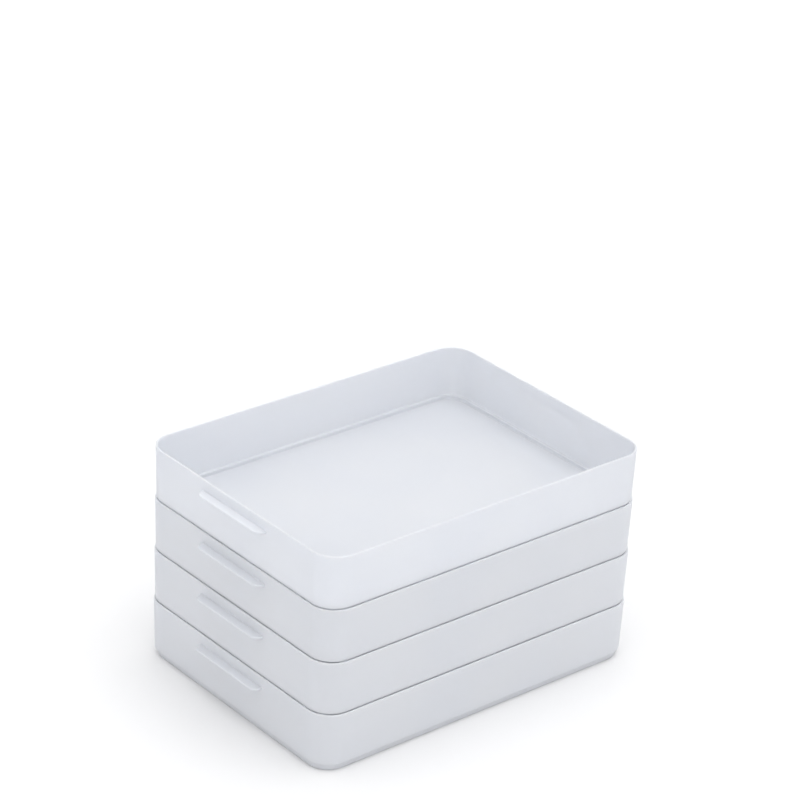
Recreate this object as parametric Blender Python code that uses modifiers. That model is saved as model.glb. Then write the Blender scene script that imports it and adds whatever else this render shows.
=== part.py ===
"""A set of four frosted plastic letter trays that stack.

Each tray is a one-piece moulding: an open box with large round corners, a stepped foot that drops into the rim of
the tray below, and a finger lip on the outside of each short wall. X runs along the long side and Z is up.
Lengths are in metres. The set is modelled stacked, with every foot seated.
"""

import math

import bmesh
import bpy

MM = 0.001

# Driving sizes of one tray.
RIM_LENGTH = 320.0 * MM
RIM_WIDTH = 236.0 * MM
TRAY_HEIGHT = 51.0 * MM
CORNER_RADIUS = 22.0 * MM
WALL_THICKNESS = 2.2 * MM
WALL_DRAFT = 1.2 * MM  # how far each wall leans in between the rim and the step
FOOT_INSET = 2.6 * MM  # width of the step between the wall and the foot
FOOT_HEIGHT = 5.5 * MM
FOOT_DRAFT = 0.3 * MM
FLOOR_RAISE = 2.5 * MM  # height of the floor's underside, inside the ring of the foot
EDGE_RADIUS = 0.6 * MM

# The finger lip.
LIP_LENGTH = 80.0 * MM
LIP_REACH = 8.0 * MM  # how far it stands out from the wall
LIP_THICKNESS = 2.2 * MM
LIP_DROP = 9.0 * MM  # from the rim down to the lip's top face
LIP_CORNER_RADIUS = 7.5 * MM
LIP_ROOT_DEPTH = 1.2 * MM  # how far the lip runs into the wall that carries it

# The stack.
SEAT_GAP = 0.3 * MM
STACK_PITCH = TRAY_HEIGHT - FOOT_HEIGHT + SEAT_GAP
TRAY_NAMES = ("bottom_tray", "lower_middle_tray", "upper_middle_tray", "top_tray")

UP = (0.0, 0.0, 1.0)
DOWN = (0.0, 0.0, -1.0)
CORNER_SEGMENTS = 8
EDGE_SEGMENTS = 2
SHARP_ANGLE = math.radians(40.0)

# Natural polypropylene with a faint blue-grey cast.
PLASTIC_COLOUR = (0.82, 0.84, 0.88, 1.0)
PLASTIC_ROUGHNESS = 0.45


def clear_scene():
    """Remove every object that is already in the file."""
    for item in list(bpy.data.objects):
        bpy.data.objects.remove(item, do_unlink=True)


def new_collection(name):
    collection = bpy.data.collections.new(name)
    bpy.context.scene.collection.children.link(collection)
    return collection


def make_plastic(name):
    """Frosted plastic of one tray."""
    material = bpy.data.materials.new(name)
    material.use_nodes = True
    material.diffuse_color = PLASTIC_COLOUR
    shader = material.node_tree.nodes["Principled BSDF"]
    shader.inputs["Base Color"].default_value = PLASTIC_COLOUR
    shader.inputs["Roughness"].default_value = PLASTIC_ROUGHNESS
    shader.inputs["Metallic"].default_value = 0.0
    return material


def box_mesh(size, centre):
    """A bmesh box of the given size about the given centre."""
    box = bmesh.new()
    bmesh.ops.create_cube(box, size=1.0)
    bmesh.ops.scale(box, vec=size, verts=box.verts)
    bmesh.ops.translate(box, vec=centre, verts=box.verts)
    return box


def face_towards(mesh, direction):
    """The face that shows the most area along a direction."""
    mesh.normal_update()
    return max(mesh.faces, key=lambda face: face.calc_area() * face.normal.dot(direction))


def upright_edges(mesh):
    """The edges that run from the bottom of a box to its top."""
    middle = sum(vert.co.z for vert in mesh.verts) / len(mesh.verts)
    return [edge for edge in mesh.edges if (edge.verts[0].co.z - middle) * (edge.verts[1].co.z - middle) < 0.0]


def round_edges(mesh, edges, radius):
    bmesh.ops.bevel(
        mesh,
        geom=edges,
        offset=radius,
        offset_type="OFFSET",
        segments=CORNER_SEGMENTS,
        profile=0.5,
        affect="EDGES",
    )


def shrink_sideways(verts, amount):
    """Move the outline that the verts form in by the same amount on all four sides."""
    half_length = max(vert.co.x for vert in verts)
    half_width = max(vert.co.y for vert in verts)
    for vert in verts:
        vert.co.x *= 1.0 - amount / half_length
        vert.co.y *= 1.0 - amount / half_width


def open_box(length, width, bottom, corner_radius):
    """A box with no top: four leaning walls with round corners down to a flat bottom."""
    height = TRAY_HEIGHT - bottom
    box = box_mesh((length, width, height), (0.0, 0.0, bottom + height / 2.0))
    bmesh.ops.delete(box, geom=[face_towards(box, UP)], context="FACES_ONLY")
    shrink_sideways(face_towards(box, DOWN).verts, WALL_DRAFT)
    round_edges(box, upright_edges(box), corner_radius)
    return box


def sink_bottom(mesh, bottom, inset, distance, draft):
    """Leave a flat border of the given width round a bottom face and push the rest of it down."""
    bmesh.ops.inset_region(mesh, faces=[bottom], thickness=inset, use_even_offset=True)
    extruded = bmesh.ops.extrude_face_region(mesh, geom=[bottom])
    bmesh.ops.delete(mesh, geom=[bottom], context="FACES_ONLY")
    moved = [item for item in extruded["geom"] if isinstance(item, bmesh.types.BMVert)]
    bmesh.ops.translate(mesh, vec=(0.0, 0.0, -distance), verts=moved)
    shrink_sideways(moved, draft)


def tray_mesh():
    """A tray standing at height zero: an outside and an inside, joined round the rim."""
    ledge_height = FOOT_HEIGHT + WALL_THICKNESS
    floor_height = FLOOR_RAISE + WALL_THICKNESS

    tray = open_box(RIM_LENGTH, RIM_WIDTH, FOOT_HEIGHT, CORNER_RADIUS)
    sink_bottom(tray, face_towards(tray, DOWN), FOOT_INSET, FOOT_HEIGHT, FOOT_DRAFT)
    sink_bottom(tray, face_towards(tray, DOWN), WALL_THICKNESS, -FLOOR_RAISE, 0.0)

    inside = open_box(
        RIM_LENGTH - 2.0 * WALL_THICKNESS,
        RIM_WIDTH - 2.0 * WALL_THICKNESS,
        ledge_height,
        CORNER_RADIUS - WALL_THICKNESS,
    )
    sink_bottom(inside, face_towards(inside, DOWN), FOOT_INSET, ledge_height - floor_height, FOOT_DRAFT)
    bmesh.ops.reverse_faces(inside, faces=inside.faces)
    lining = bpy.data.meshes.new("lining")
    inside.to_mesh(lining)
    inside.free()
    tray.from_mesh(lining)
    bpy.data.meshes.remove(lining)

    rims = [edge for edge in tray.edges if edge.is_boundary]
    bmesh.ops.bridge_loops(tray, edges=rims)
    bmesh.ops.recalc_face_normals(tray, faces=tray.faces)
    return tray


def lip_block(side):
    """The solid finger lip of one short wall; side is 1 for the +X wall and -1 for the -X wall."""
    top = TRAY_HEIGHT - LIP_DROP
    lean = WALL_DRAFT * LIP_DROP / (TRAY_HEIGHT - FOOT_HEIGHT)
    wall_face = RIM_LENGTH / 2.0 - lean
    depth = LIP_REACH + LIP_ROOT_DEPTH
    middle = side * (wall_face - LIP_ROOT_DEPTH + depth / 2.0)
    lip = box_mesh((depth, LIP_LENGTH, LIP_THICKNESS), (middle, 0.0, top - LIP_THICKNESS / 2.0))
    outer = [edge for edge in upright_edges(lip) if edge.verts[0].co.x * side > wall_face]
    round_edges(lip, outer, LIP_CORNER_RADIUS)
    bmesh.ops.recalc_face_normals(lip, faces=lip.faces)
    return lip


def add_object(name, mesh, material, collection, location):
    """Turn a bmesh into a smooth-shaded object."""
    data = bpy.data.meshes.new(name)
    mesh.to_mesh(data)
    mesh.free()
    data.materials.append(material)
    data.polygons.foreach_set("use_smooth", [True] * len(data.polygons))
    data.set_sharp_from_angle(angle=SHARP_ANGLE)
    item = bpy.data.objects.new(name, data)
    item.location = location
    collection.objects.link(item)
    return item


def soften_edges(item):
    """Round an object's sharp edges."""
    bevel = item.modifiers.new("edge rounds", "BEVEL")
    bevel.width = EDGE_RADIUS
    bevel.segments = EDGE_SEGMENTS
    bevel.limit_method = "ANGLE"
    bevel.angle_limit = SHARP_ANGLE


def build_tray(name, level, parts, helpers, root):
    """One tray at its level in the stack, with both finger lips moulded on."""
    material = make_plastic(name + "_plastic")
    location = (0.0, 0.0, level * STACK_PITCH)
    tray = add_object(name, tray_mesh(), material, parts, location)
    soften_edges(tray)
    for side, label in ((-1, "left"), (1, "right")):
        lip = add_object(f"{name}_{label}_lip", lip_block(side), material, helpers, location)
        soften_edges(lip)
        lip.display_type = "WIRE"
        lip.hide_render = True
        lip.parent = root
        union = tray.modifiers.new(label + " lip", "BOOLEAN")
        union.operation = "UNION"
        union.solver = "EXACT"
        union.object = lip
    tray.parent = root


def main():
    clear_scene()
    parts = new_collection("letter_tray_set")
    helpers = new_collection("joined_shapes")
    root = bpy.data.objects.new("stack_origin", None)
    parts.objects.link(root)
    for level, name in enumerate(TRAY_NAMES):
        build_tray(name, level, parts, helpers, root)


main()
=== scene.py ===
"""The looks of a set of four frosted plastic letter trays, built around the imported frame.

Each tray is one moulding: its section is swept round the rim's outline, and a finger lip is joined to each
short wall. Lengths are in metres, X runs along the long side and Z is up.
"""

import math

import bmesh
import bpy
from mathutils import Matrix, Vector


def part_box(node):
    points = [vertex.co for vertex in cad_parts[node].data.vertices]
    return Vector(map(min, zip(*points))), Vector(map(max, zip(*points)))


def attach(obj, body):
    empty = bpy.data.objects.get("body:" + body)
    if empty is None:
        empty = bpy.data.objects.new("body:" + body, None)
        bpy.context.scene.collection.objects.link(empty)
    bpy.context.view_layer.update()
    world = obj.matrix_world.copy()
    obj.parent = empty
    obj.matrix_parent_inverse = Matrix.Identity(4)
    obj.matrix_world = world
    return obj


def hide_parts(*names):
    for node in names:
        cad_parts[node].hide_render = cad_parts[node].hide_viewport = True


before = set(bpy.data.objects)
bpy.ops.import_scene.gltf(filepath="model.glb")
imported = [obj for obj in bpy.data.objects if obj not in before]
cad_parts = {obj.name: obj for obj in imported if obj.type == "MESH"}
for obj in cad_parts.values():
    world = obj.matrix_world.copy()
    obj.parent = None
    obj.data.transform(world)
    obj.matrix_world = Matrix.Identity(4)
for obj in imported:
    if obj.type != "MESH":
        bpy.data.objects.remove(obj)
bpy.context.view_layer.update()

MM = 0.001
TRAYS = ("bottom_tray", "lower_middle_tray", "upper_middle_tray", "top_tray")

# One tray.
RIM_LENGTH = 320.0 * MM
RIM_WIDTH = 236.0 * MM
TRAY_HEIGHT = 51.0 * MM
CORNER_RADIUS = 22.0 * MM
WALL_THICKNESS = 2.2 * MM
WALL_DRAFT = 1.2 * MM
FOOT_INSET = 2.6 * MM
FOOT_HEIGHT = 5.5 * MM
FOOT_DRAFT = 0.3 * MM
FLOOR_RAISE = 2.5 * MM
CAP_INSET = 15.0 * MM  # where the flat middle of the floor starts
CORNER_SEGMENTS = 20
FILLET_SEGMENTS = 4

# How far each corner of the section is rounded.
INSIDE_CORNER_RADIUS = 0.8 * MM
FOOT_EDGE_RADIUS = 0.7 * MM
FOOT_NOTCH_RADIUS = 0.6 * MM
WALL_EDGE_RADIUS = 1.3 * MM
RIM_EDGE_RADIUS = 1.0 * MM

# The finger lip.
LIP_LENGTH = 80.0 * MM
LIP_REACH = 8.0 * MM
LIP_THICKNESS = 2.2 * MM
LIP_DROP = 9.0 * MM
LIP_CORNER_RADIUS = 7.5 * MM
LIP_ROOT_DEPTH = 1.2 * MM
LIP_EDGE_RADIUS = 0.7 * MM
LIP_ROOT_RADIUS = 0.7 * MM
LIP_CORNER_SEGMENTS = 14
LIP_EDGE_SEGMENTS = 4

# How close points have to be when edges are picked out.
ON_THE_WALL = 0.02 * MM
NEARLY_LEVEL = 0.1 * MM
CLEAR_OF_ROOT = 1.0 * MM

# The camera.
CAMERA_AZIMUTH = math.radians(-40.5)
CAMERA_ELEVATION = math.radians(26.5)
CAMERA_ROLL = math.radians(2.8)
CAMERA_DISTANCE = 2.5
CAMERA_TARGET = (0.0, 0.0, 0.228)
CAMERA_LENS = 144.0
CAMERA_SENSOR_WIDTH = 36.0
CAMERA_CLIP_END = 100.0

# The studio.
WHITE = (1.0, 1.0, 1.0, 1.0)
WORLD_STRENGTH = 1.0
LIGHT_TARGET = (0.0, 0.0, 0.1)
OVERHEAD_PLACE = (0.05, -0.12, 1.0)
OVERHEAD_STRENGTH = 1.0
OVERHEAD_ANGLE = math.radians(50.0)
SOFTBOX_PLACE = (-0.4, -1.7, 0.9)
SOFTBOX_POWER = 1.0
SOFTBOX_SIZE = 1.6
STAGE_SIZE = 30.0
STAGE_DROP = 0.2 * MM
STAGE_COLOUR = (0.82, 0.82, 0.825, 1.0)
STAGE_ROUGHNESS = 0.9

# The plastic.
CLEARER_PLASTIC = (0.878, 0.900, 0.948, 1.0)
CLOUDIER_PLASTIC = (0.905, 0.922, 0.960, 1.0)
RUBBED_PLASTIC = (0.93, 0.935, 0.955, 1.0)
RUBBED_ROUGHNESS = 0.34
MATTE_ROUGHNESS = (0.42, 0.54)
PLASTIC_IOR = 1.49
PLASTIC_TRANSMISSION = 0.38
WEAR_DEPTH = 2.5 * MM

# The noise behind the plastic's variation: scales are in waves per metre.
FULL_RANGE = (0.0, 1.0)
SOFT_RANGE = (0.3, 0.7)
PATCH_SCALE = 60.0
PATCH_RANGE = (0.45, 0.7)
CLOUD_SCALE = 14.0
MATTE_SCALE = 55.0
GRAIN_SCALE = 900.0
GRAIN_STRENGTH = 0.25
GRAIN_DEPTH = 0.1 * MM
FLOW_SCALE = 35.0
FLOW_STRENGTH = 0.15
FLOW_DEPTH = 0.8 * MM


def fillet(corners):
    """Points along a polyline whose corners, given as inset, height and radius, are rounded."""
    points = []
    for index, (inset, height, radius) in enumerate(corners):
        here = Vector((inset, height))
        if radius == 0.0:
            points.append(here)
            continue
        before = (Vector(corners[index - 1][:2]) - here).normalized()
        after = (Vector(corners[index + 1][:2]) - here).normalized()
        half_angle = before.angle(after) / 2.0
        reach = radius / math.tan(half_angle)
        centre = here + (before + after).normalized() * (radius / math.sin(half_angle))
        start = here + before * reach - centre
        sweep = start.angle_signed(here + after * reach - centre)
        for step in range(FILLET_SEGMENTS + 1):
            turn = Matrix.Rotation(-sweep * step / FILLET_SEGMENTS, 2)
            points.append(centre + turn @ start)
    return points


def outline(inset):
    """Points round the rim's outline, moved in by an inset."""
    radius = CORNER_RADIUS - inset
    ring = []
    for corner, (side_x, side_y) in enumerate(((1, 1), (-1, 1), (-1, -1), (1, -1))):
        centre_x = side_x * (RIM_LENGTH / 2.0 - CORNER_RADIUS)
        centre_y = side_y * (RIM_WIDTH / 2.0 - CORNER_RADIUS)
        for step in range(CORNER_SEGMENTS + 1):
            angle = math.radians(90.0) * (corner + step / CORNER_SEGMENTS)
            ring.append((centre_x + radius * math.cos(angle), centre_y + radius * math.sin(angle)))
    return ring


def tray_section():
    """The section of the tray, from under the floor round the foot and over the rim to the floor's top."""
    foot_side = WALL_DRAFT + FOOT_INSET
    foot_edge = foot_side + FOOT_DRAFT
    return fillet(
        [
            (CAP_INSET, FLOOR_RAISE, 0.0),
            (foot_edge + WALL_THICKNESS, FLOOR_RAISE, INSIDE_CORNER_RADIUS),
            (foot_edge + WALL_THICKNESS, 0.0, FOOT_EDGE_RADIUS),
            (foot_edge, 0.0, FOOT_EDGE_RADIUS),
            (foot_side, FOOT_HEIGHT, FOOT_NOTCH_RADIUS),
            (WALL_DRAFT, FOOT_HEIGHT, WALL_EDGE_RADIUS),
            (0.0, TRAY_HEIGHT, RIM_EDGE_RADIUS),
            (WALL_THICKNESS, TRAY_HEIGHT, RIM_EDGE_RADIUS),
            (WALL_THICKNESS + WALL_DRAFT, FOOT_HEIGHT + WALL_THICKNESS, INSIDE_CORNER_RADIUS),
            (WALL_THICKNESS + foot_side, FOOT_HEIGHT + WALL_THICKNESS, INSIDE_CORNER_RADIUS),
            (WALL_THICKNESS + foot_edge, FLOOR_RAISE + WALL_THICKNESS, INSIDE_CORNER_RADIUS),
            (CAP_INSET, FLOOR_RAISE + WALL_THICKNESS, 0.0),
        ]
    )


def swept_tray():
    """The tray without its lips."""
    mesh = bmesh.new()
    rings = []
    for inset, height in tray_section():
        rings.append([mesh.verts.new((x, y, height)) for x, y in outline(inset)])
    for lower, upper in zip(rings, rings[1:]):
        for index in range(len(lower)):
            following = (index + 1) % len(lower)
            mesh.faces.new((lower[index], lower[following], upper[following], upper[index]))
    mesh.faces.new(rings[0])
    mesh.faces.new(rings[-1])
    bmesh.ops.recalc_face_normals(mesh, faces=mesh.faces)
    return mesh


def wall_face_at(height):
    """How far out the outside of a short wall is at a height."""
    return RIM_LENGTH / 2.0 - WALL_DRAFT * (TRAY_HEIGHT - height) / (TRAY_HEIGHT - FOOT_HEIGHT)


def lip_block(side):
    """A finger lip that starts inside the wall."""
    top = TRAY_HEIGHT - LIP_DROP
    inner = wall_face_at(top) - LIP_ROOT_DEPTH
    outer = wall_face_at(top) + LIP_REACH
    lip = bmesh.new()
    bmesh.ops.create_cube(lip, size=1.0)
    bmesh.ops.scale(lip, vec=(outer - inner, LIP_LENGTH, LIP_THICKNESS), verts=lip.verts)
    middle = (side * (inner + outer) / 2.0, 0.0, top - LIP_THICKNESS / 2.0)
    bmesh.ops.translate(lip, vec=middle, verts=lip.verts)
    corners = [
        edge
        for edge in lip.edges
        if abs(edge.verts[0].co.z - edge.verts[1].co.z) > LIP_THICKNESS / 2.0
        and edge.verts[0].co.x * side > inner + CLEAR_OF_ROOT
    ]
    bmesh.ops.bevel(
        lip,
        geom=corners,
        offset=LIP_CORNER_RADIUS,
        segments=LIP_CORNER_SEGMENTS,
        profile=0.5,
        affect="EDGES",
    )
    rim = [
        edge
        for edge in lip.edges
        if abs(edge.verts[0].co.z - edge.verts[1].co.z) < NEARLY_LEVEL
        and max(edge.verts[0].co.x * side, edge.verts[1].co.x * side) > inner + CLEAR_OF_ROOT
    ]
    bmesh.ops.bevel(
        lip,
        geom=rim,
        offset=LIP_EDGE_RADIUS,
        segments=LIP_EDGE_SEGMENTS,
        profile=0.5,
        affect="EDGES",
    )
    bmesh.ops.recalc_face_normals(lip, faces=lip.faces)
    return lip


def loose_object(name, mesh):
    """An object with the mesh of a bmesh, in the scene."""
    data = bpy.data.meshes.new(name)
    mesh.to_mesh(data)
    mesh.free()
    item = bpy.data.objects.new(name, data)
    bpy.context.scene.collection.objects.link(item)
    return item


def applied_mesh(item):
    """The mesh of an object with its modifiers applied."""
    bpy.context.view_layer.update()
    evaluated = item.evaluated_get(bpy.context.evaluated_depsgraph_get())
    return bpy.data.meshes.new_from_object(evaluated)


def root_edges(mesh):
    """The edges where the lips meet the walls."""
    top = TRAY_HEIGHT - LIP_DROP
    found = []
    for edge in mesh.edges:
        on_wall = [
            abs(abs(vert.co.x) - wall_face_at(vert.co.z)) < ON_THE_WALL
            and abs(vert.co.y) < LIP_LENGTH / 2.0 + NEARLY_LEVEL
            and top - LIP_THICKNESS - NEARLY_LEVEL < vert.co.z < top + NEARLY_LEVEL
            for vert in edge.verts
        ]
        if all(on_wall):
            found.append(edge)
    return found


def tray_mesh():
    """The whole tray, with its lips and the fillets at their roots."""
    body = loose_object("tray_body", swept_tray())
    lips = [loose_object("lip", lip_block(side)) for side in (-1, 1)]
    for lip in lips:
        union = body.modifiers.new("lip", "BOOLEAN")
        union.operation = "UNION"
        union.solver = "EXACT"
        union.object = lip
    joined = applied_mesh(body)
    for item in [body, *lips]:
        bpy.data.objects.remove(item, do_unlink=True)
    mesh = bmesh.new()
    mesh.from_mesh(joined)
    bmesh.ops.bevel(
        mesh,
        geom=root_edges(mesh),
        offset=LIP_ROOT_RADIUS,
        segments=LIP_EDGE_SEGMENTS,
        profile=0.5,
        affect="EDGES",
        clamp_overlap=True,
    )
    bmesh.ops.recalc_face_normals(mesh, faces=mesh.faces)
    mesh.to_mesh(joined)
    mesh.free()
    joined.polygons.foreach_set("use_smooth", [True] * len(joined.polygons))
    return joined


def add_node(tree, kind, values=(), links=()):
    """A node with plain values on some inputs and the outputs of other nodes on others."""
    node = tree.nodes.new(kind)
    for name, value in values:
        node.inputs[name].default_value = value
    for name, output in links:
        tree.links.new(output, node.inputs[name])
    return node


def noise(tree, place, scale, detail, roughness):
    """Soft noise over the surface; scale is in waves per metre."""
    values = (("Scale", scale), ("Detail", detail), ("Roughness", roughness))
    return add_node(tree, "ShaderNodeTexNoise", values, [("Vector", place)]).outputs["Fac"]


def remapped(tree, value, from_range, to_range):
    """A value moved from one range to another and held inside it."""
    values = (
        ("From Min", from_range[0]),
        ("From Max", from_range[1]),
        ("To Min", to_range[0]),
        ("To Max", to_range[1]),
    )
    return add_node(tree, "ShaderNodeMapRange", values, [("Value", value)]).outputs["Result"]


def mixed(tree, kind, factor, first, second):
    """A mix of two colours or two numbers, each a plain value or the output of a node."""
    node = tree.nodes.new("ShaderNodeMix")
    node.data_type = kind
    sockets = {socket.name: socket for socket in node.inputs if socket.enabled}
    tree.links.new(factor, sockets["Factor"])
    for name, source in (("A", first), ("B", second)):
        if isinstance(source, bpy.types.NodeSocket):
            tree.links.new(source, sockets[name])
        else:
            sockets[name].default_value = source
    return next(socket for socket in node.outputs if socket.enabled)


def rim_wear(tree, place):
    """How rubbed the surface is: 1 in broken patches along the top of the rim, 0 below it."""
    height = add_node(tree, "ShaderNodeSeparateXYZ", (), [("Vector", place)]).outputs["Z"]
    near_rim = remapped(tree, height, (TRAY_HEIGHT - WEAR_DEPTH, TRAY_HEIGHT), FULL_RANGE)
    patches = remapped(tree, noise(tree, place, PATCH_SCALE, 5.0, 0.65), PATCH_RANGE, FULL_RANGE)
    product = tree.nodes.new("ShaderNodeMath")
    product.operation = "MULTIPLY"
    tree.links.new(near_rim, product.inputs[0])
    tree.links.new(patches, product.inputs[1])
    return product.outputs["Value"]


def frosted_plastic(name):
    """Natural polypropylene with a fine matte texture, slightly cloudy and rubbed along the rim."""
    material = bpy.data.materials.new(name)
    material.use_nodes = True
    tree = material.node_tree
    shader = tree.nodes["Principled BSDF"]
    place = tree.nodes.new("ShaderNodeTexCoord").outputs["Object"]
    wear = rim_wear(tree, place)

    clouds = remapped(tree, noise(tree, place, CLOUD_SCALE, 3.0, 0.5), SOFT_RANGE, FULL_RANGE)
    cloudy = mixed(tree, "RGBA", clouds, CLEARER_PLASTIC, CLOUDIER_PLASTIC)
    tree.links.new(mixed(tree, "RGBA", wear, cloudy, RUBBED_PLASTIC), shader.inputs["Base Color"])

    matte = remapped(tree, noise(tree, place, MATTE_SCALE, 4.0, 0.6), SOFT_RANGE, MATTE_ROUGHNESS)
    tree.links.new(mixed(tree, "FLOAT", wear, matte, RUBBED_ROUGHNESS), shader.inputs["Roughness"])

    texture = noise(tree, place, GRAIN_SCALE, 3.0, 0.6)
    flow = noise(tree, place, FLOW_SCALE, 1.0, 0.4)
    grain = add_node(
        tree,
        "ShaderNodeBump",
        [("Strength", GRAIN_STRENGTH), ("Distance", GRAIN_DEPTH)],
        [("Height", texture)],
    )
    waves = add_node(
        tree,
        "ShaderNodeBump",
        [("Strength", FLOW_STRENGTH), ("Distance", FLOW_DEPTH)],
        [("Height", flow), ("Normal", grain.outputs["Normal"])],
    )
    tree.links.new(waves.outputs["Normal"], shader.inputs["Normal"])

    shader.inputs["IOR"].default_value = PLASTIC_IOR
    shader.inputs["Transmission Weight"].default_value = PLASTIC_TRANSMISSION
    return material


def build_trays():
    """One visible tray in the place of each tray of the frame."""
    shape = tray_mesh()
    for name in TRAYS:
        low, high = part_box(name)
        tray = bpy.data.objects.new(name + "_shell", shape.copy())
        bpy.context.scene.collection.objects.link(tray)
        tray.location = (0.0, 0.0, low.z)
        tray.data.materials.append(frosted_plastic(name + "_frosted"))
        weighted = tray.modifiers.new("flat faces stay flat", "WEIGHTED_NORMAL")
        weighted.keep_sharp = False
        weighted.weight = 100
        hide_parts(name)
        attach(tray, name)


def add_light(name, light, place):
    """A light at a place, aimed at the middle of the object."""
    item = bpy.data.objects.new(name, light)
    item.location = place
    item.rotation_euler = (Vector(LIGHT_TARGET) - Vector(place)).to_track_quat("-Z", "Y").to_euler()
    bpy.context.scene.collection.objects.link(item)


def build_stage():
    """The pale floor, the white surroundings and two soft lights."""
    floor_mesh = bmesh.new()
    bmesh.ops.create_grid(floor_mesh, x_segments=1, y_segments=1, size=STAGE_SIZE)
    floor = loose_object("floor", floor_mesh)
    floor.location = (0.0, 0.0, -STAGE_DROP)
    pale = bpy.data.materials.new("pale_floor")
    pale.use_nodes = True
    surface = pale.node_tree.nodes["Principled BSDF"]
    surface.inputs["Base Color"].default_value = STAGE_COLOUR
    surface.inputs["Roughness"].default_value = STAGE_ROUGHNESS
    floor.data.materials.append(pale)

    world = bpy.data.worlds.new("studio")
    world.use_nodes = True
    background = world.node_tree.nodes["Background"]
    background.inputs["Color"].default_value = WHITE
    background.inputs["Strength"].default_value = WORLD_STRENGTH
    bpy.context.scene.world = world

    overhead = bpy.data.lights.new("overhead_light", "SUN")
    overhead.energy = OVERHEAD_STRENGTH
    overhead.angle = OVERHEAD_ANGLE
    add_light("overhead_light", overhead, OVERHEAD_PLACE)
    softbox = bpy.data.lights.new("front_softbox", "AREA")
    softbox.shape = "SQUARE"
    softbox.size = SOFTBOX_SIZE
    softbox.energy = SOFTBOX_POWER
    add_light("front_softbox", softbox, SOFTBOX_PLACE)


def build_camera():
    """The camera, turned a little about its own axis."""
    back = Vector(
        (
            math.sin(CAMERA_AZIMUTH) * math.cos(CAMERA_ELEVATION),
            -math.cos(CAMERA_AZIMUTH) * math.cos(CAMERA_ELEVATION),
            math.sin(CAMERA_ELEVATION),
        )
    )
    data = bpy.data.cameras.new("camera")
    data.lens = CAMERA_LENS
    data.sensor_width = CAMERA_SENSOR_WIDTH
    data.clip_end = CAMERA_CLIP_END
    camera = bpy.data.objects.new("camera", data)
    camera.location = Vector(CAMERA_TARGET) + back * CAMERA_DISTANCE
    turn = (-back).to_track_quat("-Z", "Y").to_matrix() @ Matrix.Rotation(CAMERA_ROLL, 3, "Z")
    camera.rotation_euler = turn.to_euler()
    bpy.context.scene.collection.objects.link(camera)
    bpy.context.scene.camera = camera


build_trays()
build_stage()
build_camera()
bpy.context.scene.view_settings.view_transform = "Standard"

bpy.context.view_layer.update()
